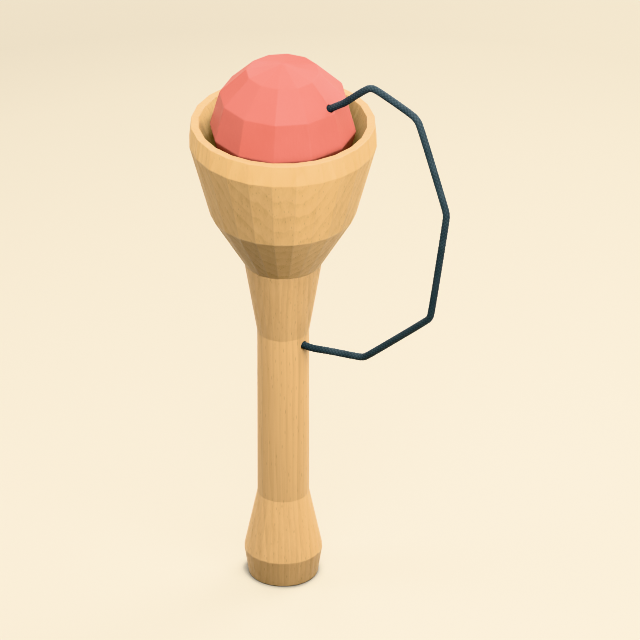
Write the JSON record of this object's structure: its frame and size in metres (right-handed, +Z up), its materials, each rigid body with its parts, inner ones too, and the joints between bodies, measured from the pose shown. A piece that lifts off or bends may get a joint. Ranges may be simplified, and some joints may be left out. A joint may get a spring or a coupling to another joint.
{
  "type": "cup and ball toy",
  "caption": "Wooden cup on a slim facet-cut handle, with a painted ball tied to it by a thin cord, for tossing the ball up and catching it in the cup.",
  "frame": {"origin": "centre of the foot's flat underside, where the toy stands", "axes": "+Z up along the handle's axis, +X towards the side where the cord bows out"},
  "size_m": [0.1021, 0.064, 0.2023],
  "materials": {
    "wood": "pale hardwood, facet-cut, satin oil",
    "painted_wood": "coral paint, satin",
    "cord": "dark slate braided cord, waxed"
  },
  "bodies": {
    "handle": {"handle": "wood", "cup": "wood", "cord": "cord", "handle_cord_end": "cord", "handle_knot": "cord"},
    "ball_tether": {"ball_cord_end": "cord", "ball_knot": "cord"},
    "ball": {"ball": "painted_wood"}
  },
  "joints": [
    {"name": "ball_lift", "type": "slide", "parent": "handle", "child": "ball_tether", "axis": [0, 0, 1], "range_m": [0, 0.08], "deforming": ["cord"]},
    {"name": "ball_spin", "type": "hinge", "parent": "ball_tether", "child": "ball", "pos_m": [0, 0, 0.17339], "axis": [0.8192, 0, 0.5736], "continuous": true}
  ]
}
